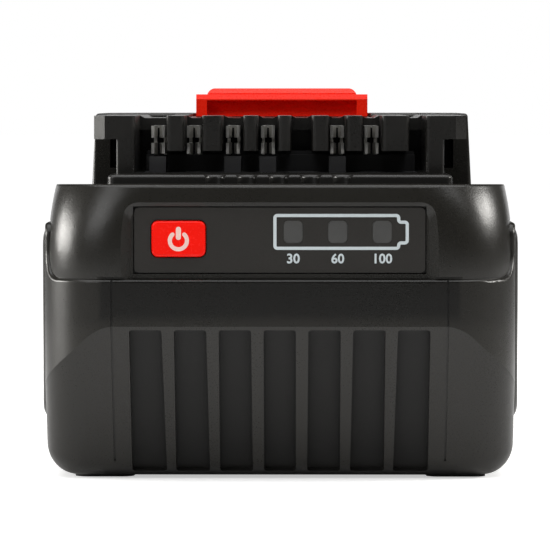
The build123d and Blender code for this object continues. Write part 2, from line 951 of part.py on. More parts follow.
gauge_board_side = gauge_side + gauge_board_overhang
gauge_board_back = gauge_board_front + gauge_board_thickness
gauge_board_bottom = panel_bottom + gauge_board_margin
gauge_board_top = deck_under - gauge_board_top_gap
switch_front = gauge_board_front - switch_depth

with BuildPart() as gauge_board:
    with BuildSketch(Plane.XZ.offset(-gauge_board_front)):
        with Locations((0, (gauge_board_bottom + gauge_board_top) / 2)):
            RectangleRounded(
                2 * gauge_board_side, gauge_board_top - gauge_board_bottom, panel_corner
            )
        with Locations((-gauge_post_side, gauge_post_z), (gauge_post_side, gauge_post_z)):
            Circle(gauge_screw_radius + slip_gap, mode=Mode.SUBTRACT)
    extrude(amount=-gauge_board_thickness)
save(gauge_board, "gauge_board")

with BuildPart() as gauge_board_screws:
    for side in (-1, 1):
        place = Pos(side * gauge_post_side, gauge_board_back, gauge_post_z)
        add(place * Rot(-90, 0, 0) * small_screw(gauge_screw_radius, gauge_screw_length))
save(gauge_board_screws, "gauge_board_screws")

with BuildPart() as gauge_switch:
    with BuildSketch(Plane.XZ.offset(-switch_front)):
        with Locations((button_x, button_z)):
            RectangleRounded(switch_size, switch_size, panel_corner)
            Circle(plunger_radius + slip_gap / 2, mode=Mode.SUBTRACT)
    extrude(amount=-switch_depth)
save(gauge_switch, "gauge_switch")

plunger_back = gauge_board_front - plunger_room
with BuildPart() as gauge_switch_plunger:
    with BuildSketch(Plane.XZ.offset(-(flange_back + plunger_gap))):
        with Locations((button_x, button_z)):
            Circle(plunger_radius)
    extrude(amount=flange_back + plunger_gap - plunger_back)
save(gauge_switch_plunger, "gauge_switch_plunger")

with BuildPart() as gauge_leds:
    with BuildSketch(Plane.XZ.offset(led_thickness - gauge_board_front)):
        with Locations((window_x, window_z)):
            with GridLocations(window_pitch, 0, window_count, 1):
                Rectangle(led_width, led_height)
    extrude(amount=-led_thickness)
save(gauge_leds, "gauge_leds")


# Cells, alternately turned, joined in series along the case and in pairs one above the other
cap_radius = 3.6
cap_height = 0.7
crimp_setback = 2.6
crimp_width = 1.2
crimp_depth = 0.5
shell_edge = 0.6
cell_name_number = 0

for column_number, column in enumerate(cell_columns):
    for level in cell_levels:
        cell_name_number += 1
        turned = 1 if column_number % 2 == 0 else -1
        with BuildPart() as cell:
            with BuildSketch(Plane.XY):
                with BuildLine():
                    shoulder = turned * (cell_length / 2 - cap_height)
                    crimp = turned * (cell_length / 2 - cap_height - crimp_setback)
                    Polyline(
                        (-turned * cell_length / 2, 0),
                        (-turned * cell_length / 2, cell_radius),
                        (crimp - turned * crimp_width, cell_radius),
                        (crimp - turned * crimp_width / 2, cell_radius - crimp_depth),
                        (crimp, cell_radius),
                        (shoulder - turned * shell_edge, cell_radius),
                        (shoulder, cell_radius - shell_edge),
                        (shoulder, cap_radius),
                        (turned * cell_length / 2, cap_radius),
                        (turned * cell_length / 2, 0),
                        close=True,
                    )
                make_face()
            revolve(axis=Axis.X)
        placed_cell = Pos(0, column, level) * cell.part
        cell_name = f"cell_{cell_name_number:02d}"
        placed_cell.label = cell_name
        export_step(placed_cell, f"parts/{cell_name}.step")


# Cell holders: a moulded frame at each end of the cells, with bars that meet in the middle
holder_depth = 13.0
holder_bore_gap = 0.1
tie_width = 4.0
tie_height = 3.6
standoff_radius = 2.6
board_screw_radius = 1.2
board_screw_length = 6.5
board_screw_inset = 4.5
board_screw_side = cell_length / 2 - board_screw_inset
holder_corner = holder_rim + cell_radius

board_screw_places = [
    (side * board_screw_side, valleys[number]) for number in (0, 2) for side in (-1, 1)
]


def cell_holder(side):
    """Frame for the cell ends on one side of the case."""
    outer = cell_length / 2
    inner = outer - holder_depth
    with BuildPart() as holder:
        with BuildSketch(Plane.YZ.offset(inner)):
            with Locations((block_middle, (block_bottom + block_top) / 2)):
                RectangleRounded(block_length, block_height, holder_corner)
        extrude(amount=holder_depth)
        for valley in (valleys[0], valleys[-1]):
            block_between(
                (0, valley - tie_width / 2, block_top - tie_height),
                (outer, valley + tie_width / 2, block_top),
            )
            block_between(
                (0, valley - tie_width / 2, block_bottom),
                (outer, valley + tie_width / 2, block_bottom + tie_height),
            )
        with BuildSketch(Plane.YZ.offset(inner - overrun)):
            for column in cell_columns:
                for level in cell_levels:
                    with Locations((column, level)):
                        Circle(cell_radius + holder_bore_gap)
        extrude(amount=holder_depth + 2 * overrun, mode=Mode.SUBTRACT)
        for number in (0, 2):
            upright_cylinder(
                standoff_radius, (board_screw_side, valleys[number]), block_top - overrun, board_bottom
            )
            upright_cylinder(
                board_screw_radius + thread_gap,
                (board_screw_side, valleys[number]),
                board_top - board_screw_length - fit_gap,
                board_bottom + overrun,
                mode=Mode.SUBTRACT,
            )
    return holder.part if side > 0 else mirror(holder.part, about=Plane.YZ)


for side, holder_name in ((-1, "cell_holder_left"), (1, "cell_holder_right")):
    with BuildPart() as holder_piece:
        add(cell_holder(side))
    save(holder_piece, holder_name)


# Control board, its parts and its screws
board_overhang = 1.3
board_front_gap = 2.1
board_rear_gap = 1.0
notch_width_gap = 0.4
strip_thickness = 0.2
sense_tab_width = 3.0
power_tab_width = 6.0
tab_rise = 0.6
tab_run_height = 2.4
tab_run_drop = 0.4
strip_margin = 4.0
strip_corner = 1.5

board_side = cell_length / 2 + board_overhang
board_front = block_front + board_front_gap
board_rear = housing_front + wall - board_rear_gap
strip_plane_x = cell_length / 2

# One row per strip: name, side, first and last column, where its tab rises, tab width
tab_rear = board_rear - power_tab_width
strips = (
    ("strip_negative", 1, 0, 0, cell_columns[0], power_tab_width),
    ("strip_series_1", -1, 0, 1, valleys[0] + cell_pitch / 4, sense_tab_width),
    ("strip_series_2", 1, 1, 2, valleys[1], sense_tab_width),
    ("strip_series_3", -1, 2, 3, cell_columns[2], sense_tab_width),
    ("strip_series_4", 1, 3, 4, tab_rear, sense_tab_width),
    ("strip_positive", -1, 4, 4, tab_rear, power_tab_width),
)

with BuildPart() as control_board:
    block_between((-board_side, board_front, board_bottom), (board_side, board_rear, board_top))
    fillet(control_board.edges().filter_by(Axis.Z), panel_corner)
    for name, side, first, last, tab_y, tab_width in strips:
        notch_sides = sorted((side * (strip_plane_x - slip_gap), side * (board_side + overrun)))
        block_between(
            (notch_sides[0], tab_y - tab_width / 2 - slip_gap, board_bottom - overrun),
            (notch_sides[1], tab_y + tab_width / 2 + slip_gap, board_top + overrun),
            mode=Mode.SUBTRACT,
        )
    for place in board_screw_places:
        upright_cylinder(
            board_screw_radius + slip_gap,
            place,
            board_bottom - overrun,
            board_top + overrun,
            mode=Mode.SUBTRACT,
        )
save(control_board, "control_board")

with BuildPart() as control_board_screws:
    for place in board_screw_places:
        add(Pos(place[0], place[1], board_top) * small_screw(board_screw_radius, board_screw_length))
save(control_board_screws, "control_board_screws")

chip_size = 7.0
chip_height = 0.9
transistor_width = 6.5
transistor_length = 5.5
transistor_pitch = 12.0
transistor_count = 3
fuse_width = 10.0
fuse_length = 3.2
chip_gap = 5.0
chips_front = carrier_rear + chip_gap

with BuildPart() as board_chips:
    with BuildSketch(Plane.XY.offset(board_top)):
        with Locations((0, chips_front + chip_size / 2)):
            Rectangle(chip_size, chip_size)
        with Locations((0, chips_front + 2 * chip_size)):
            with GridLocations(transistor_pitch, 0, transistor_count, 1):
                Rectangle(transistor_width, transistor_length)
        with Locations((0, chips_front + 3 * chip_size)):
            Rectangle(fuse_width, fuse_length)
    extrude(amount=chip_height)
save(board_chips, "board_chips")


# Strips that join the cells, with tabs that rise to the board
def cell_strip(side, first, last, tab_y, tab_width):
    """Flat strip over one or two columns of cell ends, with its tab led up to the board."""
    low = cell_levels[0] - strip_margin
    high = cell_levels[-1] + strip_margin
    strip_front = cell_columns[first] - strip_margin
    strip_rear = cell_columns[last] + strip_margin
    run_top = block_top - tab_run_drop
    run_low = run_top - tab_run_height
    riser_y = min(max(tab_y, strip_front + tab_width / 2), strip_rear - tab_width / 2)
    start = strip_plane_x if side > 0 else -strip_plane_x - strip_thickness
    with BuildPart() as strip:
        with BuildSketch(Plane.YZ.offset(start)):
            with Locations(((strip_front + strip_rear) / 2, (low + high) / 2)):
                RectangleRounded(strip_rear - strip_front, high - low, strip_corner)
            with Locations((riser_y, (high - strip_corner + run_top) / 2)):
                Rectangle(tab_width, run_top - high + strip_corner)
            with Locations(((riser_y + tab_y) / 2, (run_low + run_top) / 2)):
                Rectangle(abs(riser_y - tab_y) + tab_width, run_top - run_low)
            with Locations((tab_y, (run_low + board_top + tab_rise) / 2)):
                Rectangle(tab_width, board_top + tab_rise - run_low)
        extrude(amount=strip_thickness)
    return strip


for name, side, first, last, tab_y, tab_width in strips:
    save(cell_strip(side, first, last, tab_y, tab_width), name)


# Fibre sheets over the strips
insulator_thickness = 0.4
insulator_margin = 1.5


def insulator(side):
    """Thin sheet that covers the strips on one side."""
    thickness = insulator_thickness
    outer = side * (strip_plane_x + strip_thickness)
    start = outer if side > 0 else outer - thickness
    with BuildPart() as sheet:
        with BuildSketch(Plane.YZ.offset(start)):
            with Locations((block_middle, (block_bottom + block_top) / 2)):
                RectangleRounded(
                    block_length - 2 * insulator_margin, block_height - 2 * insulator_margin, holder_corner
                )
        extrude(amount=thickness)
    return sheet


save(insulator(-1), "insulator_left")
save(insulator(1), "insulator_right")


# Foam pad between the cell holders and the floor
foam_side_gap = 1.5
foam_end_gap = 8.5

with BuildPart() as foam_pad:
    with BuildSketch(Plane.XY.offset(floor_top)):
        with Locations((0, block_middle)):
            RectangleRounded(cell_length - 2 * foam_side_gap, block_length - 2 * foam_end_gap, foot_corner)
    extrude(amount=foam_thickness)
save(foam_pad, "foam_pad")


# Terminal carrier behind the teeth, standing on the control board
pedestal_width = 2.8
pedestal_height = 2.65
pedestal_length = 6.0
carrier_wall_height = 3.4
pin_width = 2.0
pin_slot_gap = 0.1
contact_setback = 2.5
carrier_rib_gap = 0.4
carrier_rib_width = 1.0

# Contacts by name, with their places as shares of the bay's half width
contact_shares = (
    ("terminal_positive", -0.848),
    ("terminal_sense_1", -0.601),
    ("terminal_sense_2", -0.329),
    ("terminal_sense_3", -0.086),
    ("terminal_sense_4", 0.395),
    ("terminal_negative", 0.634),
)
pedestal_contacts = ("terminal_positive", "terminal_sense_2", "terminal_sense_3", "terminal_sense_4")

leaf_thickness = 0.5
leaf_rear_spread = 0.85
leaf_pinch = 0.4
leaf_mouth_spread = 0.9
leaf_mouth_length = 2.6
leaf_spring_length = 8.0
leaf_root_length = 3.2
leaf_top_drop = 1.7
leaf_split_height = 0.9
leaf_upper_height = 2.0
leaf_lower_height = 1.8
leaf_foot = 0.5
leaf_bridge = 0.4

leaf_top = rail_top - leaf_top_drop
upper_low = leaf_top - leaf_upper_height
lower_top = upper_low - leaf_split_height
lower_low = lower_top - leaf_lower_height
leaf_front = carrier_front + contact_setback
pinch_y = leaf_front + leaf_mouth_length
root_front = pinch_y + leaf_spring_length
root_rear = root_front + leaf_root_length
contact_foot_top = bay_floor + leaf_foot
pin_y = root_front + leaf_root_length / 2

with BuildPart() as terminal_carrier:
    block_between(
        (-carrier_side, carrier_front, board_top), (carrier_side, carrier_rear, bay_floor)
    )
    block_between(
        (-carrier_side, carrier_rear - wall, board_top),
        (carrier_side, carrier_rear, bay_floor + carrier_wall_height),
    )
    # Low rib in front of the folded roots of the contacts
    block_between(
        (-carrier_side, root_front - carrier_rib_gap - carrier_rib_width, bay_floor - overrun),
        (carrier_side, root_front - carrier_rib_gap, lower_low - fit_gap),
    )
    for name, share in contact_shares:
        if name in pedestal_contacts:
            centre = share * bay_side
            block_between(
                (centre - pedestal_width / 2, carrier_front, bay_floor - overrun),
                (centre + pedestal_width / 2, carrier_front + pedestal_length, bay_floor + pedestal_height),
            )
    for name, share in contact_shares:
        centre = share * bay_side
        block_between(
            (
                centre - pin_width / 2 - pin_slot_gap,
                pin_y - leaf_thickness / 2 - pin_slot_gap,
                board_top - overrun,
            ),
            (
                centre + pin_width / 2 + pin_slot_gap,
                pin_y + leaf_thickness / 2 + pin_slot_gap,
                bay_floor + overrun,
            ),
            mode=Mode.SUBTRACT,
        )
save(terminal_carrier, "terminal_carrier")


# Contacts: bent sheet, with two pairs of sprung fingers on a folded root
def contact(share):
    """Sprung contact whose two leaves pinch a blade that is slid in from the front."""
    centre = share * bay_side
    with BuildPart() as shape:
        for low, high in ((lower_low, lower_top), (upper_low, leaf_top)):
            with BuildSketch(Plane.XY.offset(low)):
                for side in (-1, 1):
                    with BuildLine() as leaf_line:
                        Polyline(
                            (centre + side * leaf_mouth_spread, leaf_front),
                            (centre + side * leaf_pinch, pinch_y),
                            (centre + side * leaf_rear_spread, root_front),
                            (centre + side * leaf_rear_spread, root_rear),
                        )
                    trace(line_width=leaf_thickness)
            extrude(amount=high - low)
        for side in (-1, 1):
            leaf_middle = centre + side * leaf_rear_spread
            block_between(
                (leaf_middle - leaf_thickness / 2, root_front, bay_floor),
                (leaf_middle + leaf_thickness / 2, root_rear, leaf_top),
            )
        for low, high in ((bay_floor, contact_foot_top), (leaf_top - leaf_bridge, leaf_top)):
            block_between(
                (centre - leaf_rear_spread - leaf_thickness / 2, root_front, low),
                (centre + leaf_rear_spread + leaf_thickness / 2, root_rear, high),
            )
        block_between(
            (centre - pin_width / 2, pin_y - leaf_thickness / 2, board_top),
            (centre + pin_width / 2, pin_y + leaf_thickness / 2, contact_foot_top),
        )
    return shape


for name, share in contact_shares:
    save(contact(share), name)


# Flat cable from the gauge board to the control board
cable_width = 8.0
cable_thickness = 0.3
cable_x = 10.0
cable_bend = 3.4
cable_drop = 5.0

cable_rear = carrier_front - fit_gap
cable_line_y = gauge_board_back + cable_thickness / 2
cable_line_z = board_top + cable_thickness / 2

with BuildPart() as gauge_cable:
    with BuildSketch(Plane.YZ.offset(cable_x - cable_width / 2)):
        with BuildLine():
            FilletPolyline(
                (cable_line_y, cable_line_z - cable_drop),
                (cable_line_y, cable_line_z),
                (cable_rear, cable_line_z),
                radius=cable_bend,
            )
        trace(line_width=cable_thickness)
    extrude(amount=cable_width)
save(gauge_cable, "gauge_cable")


# Temperature sensor in the middle of the upper row, with its two leads up to the board
bead_radius = 1.2
bead_length = 6.0
lead_radius = 0.25
lead_pitch = 2.5

bead_reach = cell_radius + bead_radius + thread_gap
bead_z = cell_levels[-1] + sqrt(bead_reach**2 - (cell_pitch / 2) ** 2)
with BuildPart() as thermistor:
    with BuildSketch(Plane.YZ.offset(-bead_length / 2)):
        with Locations((valleys[1], bead_z)):
            Circle(bead_radius)
    extrude(amount=bead_length)
    for side in (-1, 1):
        upright_cylinder(lead_radius, (side * lead_pitch / 2, valleys[1]), bead_z, board_bottom)
save(thermistor, "thermistor")


# Release latch: catch, body and thumb pad in one moulding
catch_height = 4.6
catch_wing_height = 3.5
catch_centre_side = 13.8
catch_ramp = 0.9
catch_corner = 1.5
catch_pocket_top = 2.2
catch_pocket_depth = 1.5
catch_nose = 0.7
latch_plate_side = 22.1
latch_plate_thickness = 3.0
latch_front_gap = 3.6
latch_plate_rear_gap = 4.0
pad_top_drop = 0.3
pad_front_gap = 0.3
pad_crest = 4.5
pad_slope_drop = 4.8
pad_skirt_drop = 4.3
pad_skirt_thickness = 2.2
pad_rear_gap = 0.4
pad_ridge_count = 5
pad_ridge_width = 0.9
pad_ridge_depth = 0.5
latch_travel = 4.8
spring_side = 9.0
spring_setback = 95.0
spring_radius = 3.0
spring_bore_gap = 0.3
spring_bore_depth = 2.0

plate_top = latch_room_top
plate_low = plate_top - latch_plate_thickness
catch_top = rail_top + catch_height + (housing_top - rail_top)
wing_top = housing_top + catch_wing_height
spring_y = front + spring_setback
pad_top = housing_top - pad_top_drop
pad_front = pad_room_front + pad_front_gap
pad_rear = housing_inner_rear - pad_rear_gap
spring_top = plate_low + spring_bore_depth


def catch_middle():
    """Higher middle of the catch: a ramp in front, and rounded upper corners."""
    with BuildPart() as middle:
        with BuildSketch(Plane.YZ.offset(-catch_centre_side)):
            with BuildLine():
                Polyline(
                    (catch_front + catch_nose, plate_low),
                    (catch_front + catch_nose, catch_top - catch_ramp),
                    (catch_front + catch_nose + catch_ramp, catch_top),
                    (catch_rear, catch_top),
                    (catch_rear, plate_low),
                    close=True,
                )
            make_face()
        extrude(amount=2 * catch_centre_side)
        with BuildSketch(Plane.XZ.offset(-catch_front)):
            with Locations((0, (plate_low + catch_top) / 2)):
                Rectangle(2 * catch_centre_side, catch_top - plate_low)
            fillet(vertices().group_by(Axis.Y)[-1], catch_corner)
        extrude(amount=-catch_length, mode=Mode.INTERSECT)
    return middle.part


with BuildPart() as release_latch:
    block_between(
        (-latch_plate_side, latch_room_front + latch_front_gap, plate_low),
        (latch_plate_side, housing_inner_rear - latch_plate_rear_gap, plate_top),
    )
    # Wings of the catch, lower than its middle
    with BuildSketch(Plane.YZ.offset(-catch_side)):
        with BuildLine():
            Polyline(
                (catch_front, plate_low),
                (catch_front, wing_top - catch_ramp),
                (catch_front + catch_ramp / 2, wing_top),
                (catch_rear, wing_top),
                (catch_rear, plate_low),
                close=True,
            )
        make_face()
    extrude(amount=2 * catch_side)
    add(catch_middle())
    # Hollow in the front of the catch
    with BuildSketch(Plane.YZ.offset(-catch_centre_side)):
        with BuildLine():
            hollow_top = (catch_front - overrun, catch_top - catch_pocket_top)
            hollow_start = (catch_front + catch_nose, catch_top - catch_pocket_top)
            hollow_end = (catch_front + catch_nose + catch_pocket_depth / 2, plate_top)
            Polyline(hollow_end, (catch_front - overrun, plate_top), hollow_top, hollow_start)
            ThreePointArc(
                hollow_start,
                (catch_front + catch_nose + catch_pocket_depth, (hollow_start[1] + housing_top) / 2),
                hollow_end,
            )
        make_face()
    extrude(amount=2 * catch_centre_side, mode=Mode.SUBTRACT)
    # Thumb pad that slopes down to the rear, with a skirt inside the housing's rear wall
    with BuildSketch(Plane.YZ.offset(-pad_side)):
        with BuildLine():
            Polyline(
                (pad_front, plate_low),
                (pad_front, pad_top),
                (pad_front + pad_crest, pad_top),
                (pad_rear, pad_top - pad_slope_drop),
                (pad_rear, plate_low - pad_skirt_drop),
                (pad_rear - pad_skirt_thickness, plate_low - pad_skirt_drop),
                (pad_rear - pad_skirt_thickness, plate_low),
                close=True,
            )
        make_face()
    extrude(amount=2 * pad_side)
    # Ridges across the slope
    slope_length = sqrt((pad_rear - pad_front - pad_crest) ** 2 + pad_slope_drop**2)
    slope_plane = Plane(
        origin=(0, pad_front + pad_crest, pad_top),
        x_dir=(1, 0, 0),
        z_dir=(0, pad_slope_drop / slope_length, (pad_rear - pad_front - pad_crest) / slope_length),
    )
    with BuildSketch(slope_plane):
        with Locations((0, slope_length / 2)):
            with GridLocations(0, 2 * pad_ridge_width, 1, pad_ridge_count):
                Rectangle(2 * pad_side - 2 * pad_ridge_width, pad_ridge_width)
    extrude(amount=-pad_ridge_depth, mode=Mode.SUBTRACT)
    for side in (-1, 1):
        upright_cylinder(
            spring_radius + spring_bore_gap,
            (side * spring_side, spring_y),
            plate_low - overrun,
            spring_top,
            mode=Mode.SUBTRACT,
        )
save(release_latch, "release_latch")


# Latch retainer: plate that closes the latch room from below and carries the springs
retainer_side = 29.5
retainer_front_setback = 75.0
retainer_rear_setback = 106.0
peg_height = 1.6
peg_gap = 0.25
spring_wire = 0.7

retainer_low = deck_under - retainer_thickness

with BuildPart() as latch_retainer:
    block_between(
        (-retainer_side, front + retainer_front_setback, retainer_low),
        (retainer_side, front + retainer_rear_setback, deck_under),
    )
    fillet(latch_retainer.edges().filter_by(Axis.Z), panel_corner)
    for side in (-1, 1):
        upright_cylinder(
            spring_radius - spring_wire - peg_gap,
            (side * spring_side, spring_y),
            deck_under - overrun,
            deck_under + peg_height,
        )
    for place in retainer_screw_places:
        upright_cylinder(
            retainer_screw_radius + slip_gap,
            place,
            retainer_low - overrun,
            deck_under + overrun,
            mode=Mode.SUBTRACT,
        )
save(latch_retainer, "latch_retainer")

with BuildPart() as latch_retainer_screws:
    for place in retainer_screw_places:
        small = small_screw(retainer_screw_radius, retainer_screw_length)
        add(Pos(place[0], place[1], retainer_low) * Rot(180, 0, 0) * small)
save(latch_retainer_screws, "latch_retainer_screws")


# Latch springs: plain sleeves with the outer size and wire of the hidden coils
def latch_spring(side):
    """Sleeve that stands for one coil spring between the retainer and the latch."""
    with BuildPart() as spring:
        place = (side * spring_side, spring_y)
        upright_cylinder(spring_radius, place, deck_under, spring_top)
        upright_cylinder(
            spring_radius - spring_wire, place, deck_under - overrun, spring_top + overrun, mode=Mode.SUBTRACT
        )
    return spring


save(latch_spring(-1), "latch_spring_left")
save(latch_spring(1), "latch_spring_right")
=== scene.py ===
import bpy
import math
import numpy as np
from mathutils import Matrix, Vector


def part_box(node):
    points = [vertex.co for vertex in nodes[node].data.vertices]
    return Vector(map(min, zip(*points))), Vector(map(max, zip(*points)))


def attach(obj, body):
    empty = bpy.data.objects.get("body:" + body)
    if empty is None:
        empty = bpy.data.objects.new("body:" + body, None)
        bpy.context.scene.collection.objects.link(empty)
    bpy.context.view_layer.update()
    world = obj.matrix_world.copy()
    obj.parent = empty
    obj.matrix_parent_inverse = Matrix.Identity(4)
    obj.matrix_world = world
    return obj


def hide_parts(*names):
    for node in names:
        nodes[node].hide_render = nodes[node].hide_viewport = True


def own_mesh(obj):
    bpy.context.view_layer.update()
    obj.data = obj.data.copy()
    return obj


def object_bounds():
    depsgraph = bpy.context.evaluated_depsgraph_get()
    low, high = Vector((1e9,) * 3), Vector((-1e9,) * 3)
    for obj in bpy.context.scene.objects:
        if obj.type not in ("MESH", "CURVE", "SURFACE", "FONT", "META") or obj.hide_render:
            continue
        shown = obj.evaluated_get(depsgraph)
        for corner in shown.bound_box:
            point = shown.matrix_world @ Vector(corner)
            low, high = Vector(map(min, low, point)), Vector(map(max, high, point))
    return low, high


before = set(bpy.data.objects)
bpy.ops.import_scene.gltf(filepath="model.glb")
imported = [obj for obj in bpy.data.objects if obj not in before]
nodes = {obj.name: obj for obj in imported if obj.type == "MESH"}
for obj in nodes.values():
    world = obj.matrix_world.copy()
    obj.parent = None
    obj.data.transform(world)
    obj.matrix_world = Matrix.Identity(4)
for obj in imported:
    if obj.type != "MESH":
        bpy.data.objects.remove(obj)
cad_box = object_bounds()


# Case halves
# The two halves of the case are moulded in black glass-filled plastic, with a fine spark-eroded
# texture that scatters the light into a soft, slightly warm sheen. Four screws close them.
class Value:
    """One node socket, with the operators that the materials use."""

    def __init__(self, maker, socket):
        self.maker = maker
        self.socket = socket

    def maths(self, operation, other=None, swap=False):
        """New Math node on this value and, for two-sided operations, the other one."""
        first, second = (other, self) if swap else (self, other)
        inputs = {0: first}
        if second is not None:
            inputs[1] = second
        return self.maker.node("ShaderNodeMath", {"operation": operation}, inputs)

    def __add__(self, other):
        return self.maths("ADD", other)

    def __radd__(self, other):
        return self.maths("ADD", other, swap=True)

    def __sub__(self, other):
        return self.maths("SUBTRACT", other)

    def __rsub__(self, other):
        return self.maths("SUBTRACT", other, swap=True)

    def __mul__(self, other):
        return self.maths("MULTIPLY", other)

    def __rmul__(self, other):
        return self.maths("MULTIPLY", other, swap=True)


class Finish:
    """One material, or the world, under construction, with a single method that makes its nodes."""

    def __init__(self, name, kind="materials"):
        self.owner = getattr(bpy.data, kind).new(name)
        self.owner.use_nodes = True
        self.tree = self.owner.node_tree
        self.tree.nodes.clear()

    def node(self, kind, settings, inputs, output=0):
        """New node of a kind: its settings first, then the values or links of its sockets."""
        made = self.tree.nodes.new(kind)
        for name, value in settings.items():
            setattr(made, name, value)
        for name, value in inputs.items():
            socket = made.inputs[name]
            if isinstance(value, Value):
                self.tree.links.new(value.socket, socket)
            else:
                socket.default_value = value
        return Value(self, made.outputs[output]) if made.outputs else None

    def place(self, stretch=(1.0, 1.0, 1.0)):
        """Object coordinates, stretched by a factor along each axis."""
        spot = self.node("ShaderNodeTexCoord", {}, {}, "Object")
        return self.node("ShaderNodeMapping", {}, {"Vector": spot, "Scale": stretch})

    def noise(self, spot, scale, detail=2.0, roughness=0.5):
        """Soft noise from 0 to 1 at a scale in features per metre."""
        sizes = {"Vector": spot, "Scale": scale, "Detail": detail, "Roughness": roughness}
        return self.node("ShaderNodeTexNoise", {}, sizes, "Fac")

    def cells(self, spot, scale):
        """Distance to the nearest of many scattered points, from 0."""
        return self.node("ShaderNodeTexVoronoi", {}, {"Vector": spot, "Scale": scale}, "Distance")

    def axis(self, spot, number):
        """One coordinate of a place: 0 for x, 1 for y, 2 for z."""
        return self.node("ShaderNodeSeparateXYZ", {}, {0: spot}, number)

    def step(self, value, first, last, start=0.0, end=1.0):
        """Smooth change from a start, where the value is the first, to an end, where it is the last."""
        low, high = min(first, last), max(first, last)
        ends = (start, end) if first < last else (end, start)
        spread = {"Value": value, "From Min": low, "From Max": high, "To Min": ends[0], "To Max": ends[1]}
        return self.node("ShaderNodeMapRange", {"interpolation_type": "SMOOTHSTEP"}, spread, "Result")

    def blend(self, share, first, second):
        """Colour between two colours."""
        pair = [(*colour, 1.0) if isinstance(colour, tuple) else colour for colour in (first, second)]
        inputs = {0: share, 6: pair[0], 7: pair[1]}
        return self.node("ShaderNodeMix", {"data_type": "RGBA"}, inputs, 2)

    def bump(self, height, strength, distance, before=None):
        """Normal bent by a height map, on top of an earlier normal if there is one."""
        inputs = {"Height": height, "Strength": strength, "Distance": distance}
        if before is not None:
            inputs["Normal"] = before
        return self.node("ShaderNodeBump", {}, inputs, "Normal")

    def surface(self, settings):
        """Principled surface with these socket values, as the finished material."""
        shader = self.node("ShaderNodeBsdfPrincipled", {}, settings, "BSDF")
        self.node("ShaderNodeOutputMaterial", {}, {"Surface": shader})
        return self.owner


def dress(material, *names):
    """Give CAD nodes their finish."""
    for name in names:
        slots = nodes[name].data.materials
        slots.clear()
        slots.append(material)


def moulded_plastic(name, colour, sheen_colour, roughness, grain, grain_height, shine=0.5, retone=None):
    """Moulded plastic: fine grain with pits, and a gloss and tint that vary like a faint cloud."""
    finish = Finish(name)
    spot = finish.place()
    cloud = finish.noise(spot, 60.0, 3.0)
    speck = finish.noise(spot, grain, 3.0, 0.65)
    pits = finish.cells(spot, grain * 0.8)
    tint = finish.blend(cloud * 0.6 + speck * 0.4, colour, sheen_colour)
    gloss = roughness + (cloud - 0.5) * 0.08 + (speck - 0.5) * 0.14
    if retone is not None:
        tint, gloss = retone(finish, spot, tint, gloss)
    relief = speck * 0.6 + pits * 0.4
    return finish.surface({
        "Base Color": tint,
        "Roughness": gloss,
        "Specular IOR Level": shine,
        "Normal": finish.bump(relief, 0.5, grain_height),
    })


# The chin's top line, slope and half width as in the CAD, and how softly its painted light and shade end
chin_top = 0.02625
chin_slope = math.radians(25)
chin_side = 0.0295
chin_fade = 0.0012
side_fade = 0.0005
# Depths behind the chin's plane over which the painted shade comes in
shade_depth_start = 0.0002
shade_depth_full = 0.0010
front_reach = 0.016
front_fade = 0.004
case_front = cad_box[0][1]
case_relief = 0.00003


def chin_painted_light(finish, spot, tint, gloss):
    """Painted light and shade on the tub: a paler tone painted below the top of the chin, for the light
    that the floor throws up onto it, and painted shade, a darker tone, on the band and the pocket
    floors, which lie behind the plane of the chin; the pocket floors are duller too. The distance
    behind that plane is cos(slope) (y - front) + sin(slope) (z - top)."""
    across, along, up = (finish.axis(spot, number) for number in range(3))
    behind = (along - case_front) * math.cos(chin_slope) + (up - chin_top) * math.sin(chin_slope)
    # Share of painted shade, by the distance behind the chin's plane
    painted_shade = finish.step(behind, shade_depth_start, shade_depth_full)
    middle = finish.step(across.maths("ABSOLUTE"), chin_side + side_fade, chin_side - side_fade)
    near = finish.step(along, case_front + front_reach, case_front + front_reach - front_fade)
    below = finish.step(up, chin_top + chin_fade, chin_top - chin_fade)
    painted_shade = painted_shade * middle * near
    # Painted light: a paler tone below the chin's top line, for the bounce from the floor
    painted_bounce_tone = finish.blend(below, tint, (0.0150, 0.0140, 0.0118))
    # Painted shade: a darker tone on the band and the pocket floors
    return finish.blend(painted_shade, painted_bounce_tone, (0.0030, 0.0028, 0.0022)), gloss + painted_shade * below * 0.30


case_tints = ((0.0070, 0.0065, 0.0052), (0.0135, 0.0126, 0.0104))
case_skin = (*case_tints, 0.29, 4200.0, case_relief, 0.36)
dress(moulded_plastic("lid black", *case_skin), "upper_case")
# The tub's colour carries the painted light and shade of the chin
dress(moulded_plastic("tub black", *case_skin, chin_painted_light), "lower_case")


# Rail block
# The toothed rail is a separate moulding in a smoother, harder black plastic, because the tool's
# foot slides on it. Fine rubbed lines run along the way it slides.
rail_relief = 0.00003


def rail_plastic():
    """Smooth black plastic with rubbed lines along Y."""
    finish = Finish("rail black")
    spot = finish.place()
    along = finish.place((1.0, 0.02, 1.0))
    rubbed = finish.noise(along, 2600.0, 4.0, 0.7)
    cloud = finish.noise(spot, 90.0, 3.0)
    speck = finish.noise(spot, 3000.0, 2.0)
    tint = finish.blend(cloud, (0.0075, 0.0071, 0.0064), (0.0145, 0.0138, 0.0126))
    return finish.surface({
        "Base Color": tint,
        "Roughness": 0.30 + (cloud - 0.5) * 0.12 + (rubbed - 0.5) * 0.18,
        "Specular IOR Level": 0.38,
        "Normal": finish.bump(rubbed * 0.5 + speck * 0.5, 0.35, rail_relief),
    })


dress(rail_plastic(), "rail_block")


# Feet
# Four soft rubber feet are moulded onto the base, so that the pack stands without sliding. They
# are dull, and they pick up a little dust.
dust_relief = 0.00005


